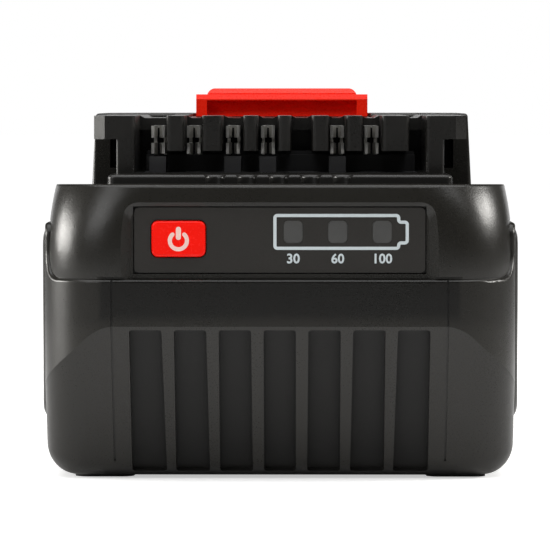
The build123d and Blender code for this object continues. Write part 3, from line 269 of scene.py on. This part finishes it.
def foot_rubber():
    """Dull rubber with a dusty bloom."""
    finish = Finish("foot rubber")
    spot = finish.place()
    dust = finish.noise(spot, 900.0, 5.0, 0.7)
    return finish.surface({
        "Base Color": finish.blend(dust, (0.012, 0.012, 0.012), (0.045, 0.043, 0.040)),
        "Roughness": 0.72 + dust * 0.2,
        "Normal": finish.bump(dust, 0.4, dust_relief),
    })


dress(foot_rubber(), "base_feet")


# Gauge panel and windows
# The panel is a flat insert in smooth matte black with its marks printed on it, and the three
# windows are smoky light guides moulded flush with its face.
panel_relief = 0.00004
window_relief = 0.00005


def panel_plastic():
    """Printed panel: very fine grain, low sheen."""
    finish = Finish("panel black")
    spot = finish.place()
    speck = finish.noise(spot, 3600.0, 3.0, 0.6)
    cloud = finish.noise(spot, 140.0, 2.0)
    return finish.surface({
        "Base Color": finish.blend(speck, (0.0125, 0.0115, 0.0100), (0.0230, 0.0212, 0.0188)),
        "Roughness": 0.46 + (cloud - 0.5) * 0.08 + (speck - 0.5) * 0.12,
        "Specular IOR Level": 0.30,
        "Normal": finish.bump(speck, 0.4, panel_relief),
    })


def smoky_window():
    """Light guide: a smoky plastic, faintly clouded by the milky core under its skin."""
    finish = Finish("window smoke")
    spot = finish.place()
    milk = finish.noise(spot, 500.0, 3.0)
    return finish.surface({
        "Base Color": finish.blend(milk, (0.042, 0.042, 0.041), (0.056, 0.056, 0.054)),
        "Roughness": 0.34 + milk * 0.08,
        "Normal": finish.bump(milk, 0.15, window_relief),
    })


dress(panel_plastic(), "gauge_panel")
dress(smoky_window(), "led_windows")


# Check button
# The button is a small cap moulded in satin red plastic with soft edges. It slides in a hole in
# the panel and presses the push switch behind it.
red_relief = 0.00003


def satin_red(name, deep, light, roughness):
    """Red plastic with faint flow marks and a fine satin grain, less shiny than the black."""
    finish = Finish(name)
    spot = finish.place()
    flow = finish.noise(finish.place((0.3, 1.0, 1.0)), 160.0, 3.0)
    speck = finish.noise(spot, 2600.0, 2.0)
    return finish.surface({
        "Base Color": finish.blend(flow, deep, light),
        "Roughness": roughness + (speck - 0.5) * 0.14 + (flow - 0.5) * 0.06,
        "Specular IOR Level": 0.2,
        "Normal": finish.bump(speck, 0.25, red_relief),
    })


dress(satin_red("button red", (0.82, 0.004, 0.001), (0.90, 0.010, 0.003), 0.26), "gauge_button")


# Release latch
# The latch is one moulding in red plastic: the catch that stands up behind the rail, and the
# ridged thumb pad at the rear. Two springs hold it up.
dress(satin_red("latch red", (0.80, 0.010, 0.002), (0.90, 0.022, 0.006), 0.28), "release_latch")


# Printed marks
# The marks are pad-printed ink films: the power mark on the button, the outline round the
# windows, and plain numbers under the windows for the charge that each one stands for.
ink_film = 0.00003
ink_relief = 0.00002


def ink(name, colour, faded):
    """Printed ink: nearly flat colour, with fine pinholes that let it look a little uneven."""
    finish = Finish(name)
    spot = finish.place()
    speck = finish.noise(spot, 5200.0, 3.0, 0.7)
    return finish.surface({
        "Base Color": finish.blend(speck, colour, faded),
        "Roughness": 0.5 + speck * 0.12,
        "Normal": finish.bump(speck, 0.3, ink_relief),
    })


def shell(name, points, faces, material, body):
    """New piece from an array of points and a list of faces, which rides on a body."""
    mesh = bpy.data.meshes.new(name)
    mesh.from_pydata(points.reshape(-1, 3).tolist(), [], faces)
    mesh.materials.append(material)
    piece = bpy.data.objects.new(name, mesh)
    bpy.context.scene.collection.objects.link(piece)
    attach(piece, body)
    return piece


def grid_faces(rows, columns, close_rows=False, close_columns=False):
    """Quads between neighbouring points of a grid, closed round in either direction."""
    row = np.arange(rows if close_rows else rows - 1)
    column = np.arange(columns if close_columns else columns - 1)
    row, column = np.meshgrid(row, column, indexing="ij")
    next_row = (row + 1) % rows
    next_column = (column + 1) % columns
    corners = (
        row * columns + column,
        next_row * columns + column,
        next_row * columns + next_column,
        row * columns + next_column,
    )
    return np.stack(corners, -1).reshape(-1, 4)


def printed_line(name, path, width, face_y, material, body):
    """Ink film of even width along a closed flat path (x, z): at each point of the path, a closed
    profile of four corners is set across it, half the width to each side and one film thick."""
    into = path - np.roll(path, 1, 0)
    out = np.roll(path, -1, 0) - path
    into /= np.linalg.norm(into, axis=1)[:, None]
    out /= np.linalg.norm(out, axis=1)[:, None]
    way = into + out
    way /= np.linalg.norm(way, axis=1)[:, None]
    across = np.stack([-way[:, 1], way[:, 0]], 1)
    reach = width / 2 / (into * way).sum(1)
    sides = np.array([-1.0, 1.0, 1.0, -1.0])
    depths = np.array([0.0, 0.0, -1.0, -1.0]) * ink_film
    flat = path[:, None, :] + across[:, None, :] * (sides[None, :, None] * reach[:, None, None])
    points = np.empty((len(path), 4, 3))
    points[..., 0] = flat[..., 0]
    points[..., 1] = face_y + depths[None, :]
    points[..., 2] = flat[..., 1]
    faces = grid_faces(len(path), 4, True, True)[:, ::-1]
    shell(name, points, faces.tolist(), material, body)


def rounded_path(corners, radius, steps):
    """Closed path through corners (x, z), each replaced by an arc that is tangent to both sides."""
    corners = np.asarray(corners, float)
    before = np.roll(corners, 1, 0) - corners
    after = np.roll(corners, -1, 0) - corners
    before /= np.linalg.norm(before, axis=1)[:, None]
    after /= np.linalg.norm(after, axis=1)[:, None]
    half = np.arccos(np.clip((before * after).sum(1), -1, 1)) / 2
    start = corners + before * (radius / np.tan(half))[:, None]
    end = corners + after * (radius / np.tan(half))[:, None]
    middle = before + after
    middle /= np.linalg.norm(middle, axis=1)[:, None]
    centre = corners + middle * (radius / np.sin(half))[:, None]
    share = np.linspace(0, 1, steps)[None, :, None]
    spoke = (start - centre)[:, None, :] * (1 - share) + (end - centre)[:, None, :] * share
    spoke *= radius / np.linalg.norm(spoke, axis=2, keepdims=True)
    return (centre[:, None, :] + spoke).reshape(-1, 2)


def printed_patch(name, outline, face_y, material, body):
    """Ink film with a closed outline (x, z): the outline is set twice, one film apart, and joined
    by a band of quads round its edge."""
    outline = outline[::-1]
    count = len(outline)
    points = np.empty((2, count, 3))
    points[..., 0] = outline[:, 0]
    points[0, :, 1] = face_y
    points[1, :, 1] = face_y - ink_film
    points[..., 2] = outline[:, 1]
    faces = [list(range(count)), list(range(2 * count - 1, count - 1, -1))]
    band = grid_faces(2, count, False, True)
    shell(name, points, faces + band.tolist(), material, body)


def arc(centre, radius, first, last, steps):
    """Points (x, z) on a circle from one angle to another."""
    turn = np.linspace(first, last, steps)
    return np.stack([centre[0] + radius * np.cos(turn), centre[1] + radius * np.sin(turn)], 1)


panel_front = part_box("gauge_panel")[0][1]
button_low, button_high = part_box("gauge_button")
window_low, window_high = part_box("led_windows")
pale_ink = ink("pale ink", (0.56, 0.62, 0.64), (0.44, 0.49, 0.51))
warm_ink = ink("warm white ink", (0.86, 0.62, 0.56), (0.74, 0.46, 0.40))

outline_stroke = 0.00052
outline_gap_left = 0.0017
outline_gap_right = 0.0014
outline_gap_above = 0.00115
outline_rise = 0.0002
nub_reach = 0.0014
nub_height = 0.0034

outline_left = window_low[0] - outline_gap_left + outline_stroke / 2
outline_right = window_high[0] + outline_gap_right - outline_stroke / 2
outline_middle = (window_low[2] + window_high[2]) / 2 - outline_rise / 2
outline_top = window_high[2] + outline_gap_above - outline_stroke / 2
outline_foot = window_low[2] - outline_gap_above + outline_stroke / 2
nub_right = outline_right + nub_reach
nub_top = outline_middle + nub_height / 2
nub_foot = outline_middle - nub_height / 2
nub_round = 0.0004
corner_steps = 7

outer_corners = [
    (outline_left, outline_foot),
    (outline_left, outline_top),
    (outline_right, outline_top),
    (outline_right, nub_top),
    (nub_right, nub_top),
    (nub_right, nub_foot),
    (outline_right, nub_foot),
    (outline_right, outline_foot),
]
outline_path = rounded_path(outer_corners, nub_round, corner_steps)
printed_line("gauge_outline", outline_path, outline_stroke, panel_front, pale_ink, "case")

mark_radius = 0.0014
mark_stroke = 0.00068
mark_opening = math.radians(43)
mark_bar_foot = 0.00055
mark_bar_top = 0.00185
mark_bar_width = 0.00086
mark_drop = 0.00028
ring_steps = 49
stroke_end_steps = 9
bar_end_steps = 13

mark = (
    (button_low[0] + button_high[0]) / 2,
    (button_low[2] + button_high[2]) / 2 - mark_drop,
)
ring_start = math.pi / 2 + mark_opening
ring_end = 5 * math.pi / 2 - mark_opening
ring_ends = [arc(mark, mark_radius, turn, turn, 1)[0] for turn in (ring_start, ring_end)]
ring = np.vstack([
    arc(mark, mark_radius + mark_stroke / 2, ring_start, ring_end, ring_steps),
    arc(ring_ends[1], mark_stroke / 2, ring_end, ring_end + math.pi, stroke_end_steps)[1:-1],
    arc(mark, mark_radius - mark_stroke / 2, ring_end, ring_start, ring_steps),
    arc(
        ring_ends[0], mark_stroke / 2, ring_start + math.pi, ring_start + 2 * math.pi, stroke_end_steps
    )[1:-1],
])
bar = np.vstack([
    arc((mark[0], mark[1] + mark_bar_top), mark_bar_width / 2, 0.0, math.pi, bar_end_steps),
    arc((mark[0], mark[1] + mark_bar_foot), mark_bar_width / 2, math.pi, 2 * math.pi, bar_end_steps),
])
for mark_name, mark_outline in (("power_mark_ring", ring), ("power_mark_bar", bar)):
    printed_patch(mark_name, mark_outline, button_low[1], warm_ink, "button")

number_height = 0.00165
number_drop = 0.0016
number_swell = 0.024
number_depth = 0.01
window_half = 0.00155
labels = ("30", "60", "100")
window_centres = np.linspace(window_low[0] + window_half, window_high[0] - window_half, len(labels))
for label, centre in zip(labels, window_centres):
    words = bpy.data.curves.new("number", "FONT")
    words.body = label
    words.align_x = "CENTER"
    words.size = 1.0
    words.offset = number_swell
    words.extrude = number_depth
    words.resolution_u = 3
    text = bpy.data.objects.new("number", words)
    bpy.context.scene.collection.objects.link(text)
    bpy.context.view_layer.update()
    mesh = bpy.data.meshes.new_from_object(text.evaluated_get(bpy.context.evaluated_depsgraph_get()))
    bpy.data.objects.remove(text)
    flat = np.empty(len(mesh.vertices) * 3)
    mesh.vertices.foreach_get("co", flat)
    flat = flat.reshape(-1, 3)
    tall = number_height / (flat[:, 1].max() - flat[:, 1].min())
    placed = np.empty_like(flat)
    placed[:, 0] = centre + flat[:, 0] * tall
    placed[:, 1] = panel_front - (flat[:, 2] - flat[:, 2].min()) / np.ptp(flat[:, 2]) * ink_film
    placed[:, 2] = outline_foot - number_drop - number_height / 2 + flat[:, 1] * tall
    mesh.vertices.foreach_set("co", placed.ravel())
    mesh.update()
    mesh.materials.clear()
    mesh.materials.append(pale_ink)
    piece = bpy.data.objects.new("number_" + label, mesh)
    bpy.context.scene.collection.objects.link(piece)
    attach(piece, "case")


# Contacts
# Six contacts are stamped and folded from tinned copper sheet, a little dulled by the air. Each
# has two sprung leaves that grip a blade of the tool.
rolled_relief = 0.00002


def sheet_metal(name, light, dull, roughness, grain_axis):
    """Rolled metal with fine lines along the way it was rolled, and faint tarnish."""
    finish = Finish(name)
    lines = finish.noise(finish.place(grain_axis), 4200.0, 4.0, 0.7)
    tarnish = finish.noise(finish.place(), 420.0, 4.0, 0.6)
    return finish.surface({
        "Base Color": finish.blend(tarnish, light, dull),
        "Metallic": 1.0,
        "Roughness": roughness + (lines - 0.5) * 0.2 + (tarnish - 0.5) * 0.1,
        "Normal": finish.bump(lines, 0.25, rolled_relief),
    })


contact_names = [name for name in nodes if name.startswith("terminal_") and name != "terminal_carrier"]
contact_tin = sheet_metal("contact tin", (0.72, 0.71, 0.68), (0.50, 0.49, 0.46), 0.42, (1.0, 0.05, 1.0))
dress(contact_tin, *contact_names)


# Mouldings inside
# The terminal carrier, the latch retainer and the cell holders are plain black mouldings,
# smoother than the case because nobody sees them.
inner_relief = 0.00004
inner_black = moulded_plastic(
    "inner black", (0.018, 0.018, 0.019), (0.028, 0.028, 0.030), 0.44, 1800.0, inner_relief
)
dress(inner_black, "terminal_carrier", "latch_retainer", "cell_holder_left", "cell_holder_right")


# Screws and springs
# The screws are rolled steel with a dark plating, and the two latch springs are drawn wire,
# wound with closed ends.
screw_names = [name for name in nodes if name.endswith("screws")]
dark_steel = sheet_metal("dark plated steel", (0.23, 0.22, 0.21), (0.13, 0.125, 0.12), 0.30, (1.0, 1.0, 1.0))
dress(dark_steel, *screw_names)
spring_steel = sheet_metal("spring steel", (0.52, 0.51, 0.50), (0.38, 0.37, 0.36), 0.26, (1.0, 1.0, 0.1))

spring_turns = 6.0
closed_turns = 0.75
closed_spacing = 1.05
wire_radius = 0.00035
wire_steps = 320
wire_sides = 10


def coil_spring(name, node):
    """Wire of round section along a helix. The centre line turns evenly round the axis and
    rises slowly over the closed end turns and quickly between them; the section is set across it."""
    low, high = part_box(node)
    centre = np.array([(low[0] + high[0]) / 2, (low[1] + high[1]) / 2])
    radius = (high[0] - low[0]) / 2 - wire_radius
    turn = np.linspace(0, spring_turns, wire_steps)
    knots = [0, closed_turns, spring_turns - closed_turns, spring_turns]
    foot = low[2] + wire_radius
    head = high[2] - wire_radius
    closed_rise = 2 * wire_radius * closed_turns * closed_spacing
    rise = np.interp(turn, knots, [foot, foot + closed_rise, head - closed_rise, head])
    angle = turn * 2 * math.pi
    line = np.stack([centre[0] + radius * np.cos(angle), centre[1] + radius * np.sin(angle), rise], 1)
    way = np.gradient(line, axis=0)
    way /= np.linalg.norm(way, axis=1)[:, None]
    outward = np.stack([np.cos(angle), np.sin(angle), np.zeros_like(angle)], 1)
    upward = np.cross(way, outward)
    upward /= np.linalg.norm(upward, axis=1)[:, None]
    side = np.linspace(0, 2 * math.pi, wire_sides, endpoint=False)
    points = line[:, None, :] + wire_radius * (
        np.cos(side)[None, :, None] * outward[:, None, :] - np.sin(side)[None, :, None] * upward[:, None, :]
    )
    faces = grid_faces(wire_steps, wire_sides, False, True)
    ends = np.array([np.arange(wire_sides), (wire_steps - 1) * wire_sides + np.arange(wire_sides)[::-1]])
    piece = shell(name, points, faces.tolist() + ends.tolist(), spring_steel, "case")
    piece.data.shade_smooth()
    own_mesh(piece)
    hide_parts(node)


coil_spring("latch_coil_left", "latch_spring_left")
coil_spring("latch_coil_right", "latch_spring_right")


# Cells, strips and insulation
# Round cells in blue shrink sleeve are joined by plain nickel strip, spot-welded at each end,
# and covered with pressed fibre sheet. A foam pad lies under them.
sleeve_half = 0.0312
sleeve_relief = 0.00004


def shrink_sleeve():
    """Glossy sleeve over the can: blue film along the middle, bare nickel at both ends."""
    finish = Finish("cell wrap")
    spot = finish.place()
    wrinkle = finish.noise(finish.place((0.1, 1.0, 1.0)), 700.0, 3.0)
    reach = finish.axis(spot, 0).maths("ABSOLUTE")
    bare = reach.maths("GREATER_THAN", sleeve_half)
    film = finish.blend(wrinkle, (0.012, 0.085, 0.25), (0.02, 0.12, 0.33))
    return finish.surface({
        "Base Color": finish.blend(bare, film, (0.55, 0.54, 0.51)),
        "Metallic": bare,
        "Roughness": 0.24 + wrinkle * 0.12,
        "Normal": finish.bump(wrinkle, 0.2, sleeve_relief),
    })


cell_names = [name for name in nodes if name.startswith("cell_") and name[5:].isdigit()]
dress(shrink_sleeve(), *cell_names)
strip_names = [name for name in nodes if name.startswith("strip_")]
strip_nickel = sheet_metal("strip nickel", (0.62, 0.60, 0.55), (0.46, 0.44, 0.40), 0.32, (1.0, 0.04, 1.0))
dress(strip_nickel, *strip_names)

fibre_relief = 0.00006
foam_relief = 0.0002


def fibre_or_foam(name, light, dark, scale, roughness, relief):
    """Matted fibres or open grain, from two scales of noise."""
    finish = Finish(name)
    fibres = finish.noise(finish.place((1.0, 0.25, 1.0)), scale, 6.0, 0.75)
    pores = finish.cells(finish.place(), scale)
    return finish.surface({
        "Base Color": finish.blend(fibres * 0.7 + pores * 0.3, dark, light),
        "Roughness": roughness + (fibres - 0.5) * 0.1,
        "Normal": finish.bump(fibres * 0.6 + pores * 0.4, 0.6, relief),
    })


dress(
    fibre_or_foam("fibre sheet", (0.50, 0.40, 0.22), (0.34, 0.26, 0.13), 1400.0, 0.8, fibre_relief),
    "insulator_left",
    "insulator_right",
)
dress(
    fibre_or_foam("grey foam", (0.11, 0.11, 0.11), (0.045, 0.045, 0.045), 1100.0, 0.9, foam_relief),
    "foam_pad",
)


# Boards and what is soldered on them
# The two boards are green glass-fibre laminate with traces under the solder mask. The chips and
# the switch are moulded black, the lamps clear, and a white flat cable joins the boards.
trace_relief = 0.00004
chip_relief = 0.00003
plunger_relief = 0.00002
lamp_relief = 0.00001


def circuit_board():
    """Solder mask over copper: straight traces show as lighter lines in two directions."""
    finish = Finish("board green")
    spot = finish.place()
    bend = finish.noise(spot, 120.0, 1.0)
    lines = (finish.axis(spot, 0) * 2400.0 + bend * 6.0).maths("SINE").maths("GREATER_THAN", 0.55)
    other = (finish.axis(spot, 1) * 2400.0 + bend * 5.0).maths("SINE").maths("GREATER_THAN", 0.6)
    area = finish.noise(spot, 70.0, 0.0).maths("GREATER_THAN", 0.5)
    copper = lines * area + other * (1.0 - area)
    return finish.surface({
        "Base Color": finish.blend(copper, (0.006, 0.075, 0.03), (0.02, 0.16, 0.06)),
        "Roughness": 0.26 + copper * 0.08,
        "Normal": finish.bump(copper, 0.4, trace_relief),
    })


dress(circuit_board(), "control_board", "gauge_board")
dress(
    moulded_plastic("chip black", (0.012, 0.012, 0.012), (0.022, 0.022, 0.022), 0.5, 3200.0, chip_relief),
    "board_chips",
    "gauge_switch",
    "thermistor",
)
dress(
    moulded_plastic("plunger white", (0.62, 0.62, 0.59), (0.72, 0.72, 0.70), 0.4, 2200.0, plunger_relief),
    "gauge_switch_plunger",
    "gauge_cable",
)
dress(
    moulded_plastic("lamp clear", (0.72, 0.70, 0.52), (0.82, 0.80, 0.64), 0.18, 1500.0, lamp_relief),
    "gauge_leds",
)


# Studio
# A pale floor and plain soft light: one large lamp overhead with a strip before it, one on each
# side, a low one behind and a front fill, as for a catalogue picture.
floor_half = 6.0
fade_start = 0.16
fade_end = 0.60
glow_near = 0.05
glow_far = 0.32


def floor_paper():
    """White paper round the pack, its colour painted darker further off: painted shade for the light
    that falls away into the room. The camera sees it glow more and more with the distance, so that it runs
    into the white background."""
    finish = Finish("floor paper")
    spot = finish.place()
    tone = finish.noise(spot, 3.0, 3.0)
    far = finish.node("ShaderNodeVectorMath", {"operation": "LENGTH"}, {0: spot}, "Value")
    glow = finish.step(far, glow_near, glow_far, 0.50)
    seen = finish.node("ShaderNodeLightPath", {}, {}, "Is Camera Ray")
    # Painted pool of light: the paper's colour is painted darker further from the pack
    near = finish.step(far, fade_end, fade_start)
    sheet = finish.blend(tone, (0.80, 0.80, 0.80), (0.84, 0.84, 0.84))
    return finish.surface({
        "Base Color": finish.blend(near, (0.12, 0.12, 0.12), sheet),
        "Roughness": 0.85,
        "Specular IOR Level": 0.0,
        "Emission Color": finish.blend(glow * seen, (0.0, 0.0, 0.0), (1.0, 1.0, 1.0)),
        "Emission Strength": 1.0,
    })


floor_points = np.array([
    [(-floor_half, -floor_half, 0.0), (-floor_half, floor_half, 0.0)],
    [(floor_half, -floor_half, 0.0), (floor_half, floor_half, 0.0)],
])
floor_mesh = bpy.data.meshes.new("floor")
floor_mesh.from_pydata(floor_points.reshape(-1, 3).tolist(), [], [[0, 2, 3, 1]])
floor_mesh.materials.append(floor_paper())
floor = bpy.data.objects.new("floor", floor_mesh)
bpy.context.scene.collection.objects.link(floor)

room = Finish("studio", "worlds")
seen = room.node("ShaderNodeLightPath", {}, {}, "Is Camera Ray")
dim = room.node("ShaderNodeBackground", {}, {"Color": (1.0, 0.99, 0.97, 1.0), "Strength": 0.07})
bright = room.node("ShaderNodeBackground", {}, {"Color": (1.0, 1.0, 1.0, 1.0), "Strength": 1.0})
either = room.node("ShaderNodeMixShader", {}, {0: seen, 1: dim, 2: bright})
room.node("ShaderNodeOutputWorld", {}, {"Surface": either})
bpy.context.scene.world = room.owner


def lamp(name, place, target, width, height, power, colour):
    """Rectangular soft lamp that points from its place at a target."""
    data = bpy.data.lights.new(name, "AREA")
    data.shape = "RECTANGLE"
    data.size = width
    data.size_y = height
    data.energy = power
    data.color = colour
    light = bpy.data.objects.new(name, data)
    bpy.context.scene.collection.objects.link(light)
    light.location = place
    light.rotation_euler = (Vector(target) - Vector(place)).to_track_quat("-Z", "Y").to_euler()


white = (1.0, 1.0, 1.0)
warm = (1.0, 0.98, 0.94)
overhead_place, overhead_aim, overhead_size = (0.0, -0.06, 0.56), (0.0, 0.0, 0.04), (0.90, 0.46)
left_place, left_aim, left_size = (-1.0, 0.16, 0.20), (0.0, 0.0, 0.042), (0.55, 0.26)
right_place, right_aim, right_size = (1.0, 0.03, 0.46), (0.0, 0.0, 0.042), (0.45, 0.20)
back_place, back_aim, back_size = (0.0, 1.3, 0.12), (0.0, 0.0, 0.06), (1.8, 0.3)
strip_place, strip_aim, strip_size = (0.0, -0.42, 0.50), (0.0, 0.0, 0.05), (1.3, 0.14)
fill_place, fill_aim, fill_size = (-1.0, -1.05, 0.62), (0.0, 0.0, 0.03), (0.7, 0.5)

lamp("overhead lamp", overhead_place, overhead_aim, *overhead_size, 3.8, white)
lamp("left lamp", left_place, left_aim, *left_size, 10.5, warm)
lamp("right lamp", right_place, right_aim, *right_size, 9.0, warm)
lamp("back lamp", back_place, back_aim, *back_size, 2.0, white)
lamp("top front strip", strip_place, strip_aim, *strip_size, 1.8, white)
lamp("front fill", fill_place, fill_aim, *fill_size, 4.6, white)

camera_reach = 0.600
camera_side = 0.0030
camera_height = 0.0633
film_width = 36.0
lens_length = 240.3
camera_data = bpy.data.cameras.new("camera")
camera_data.sensor_width = film_width
camera_data.lens = lens_length
camera = bpy.data.objects.new("camera", camera_data)
bpy.context.scene.collection.objects.link(camera)
camera.location = (camera_side, case_front - camera_reach, camera_height)
pitch = math.radians(2.725)
yaw = math.radians(0.36)
camera.rotation_euler = (math.radians(90) - pitch, 0.0, yaw)
bpy.context.scene.camera = camera
bpy.context.scene.view_settings.view_transform = "Standard"
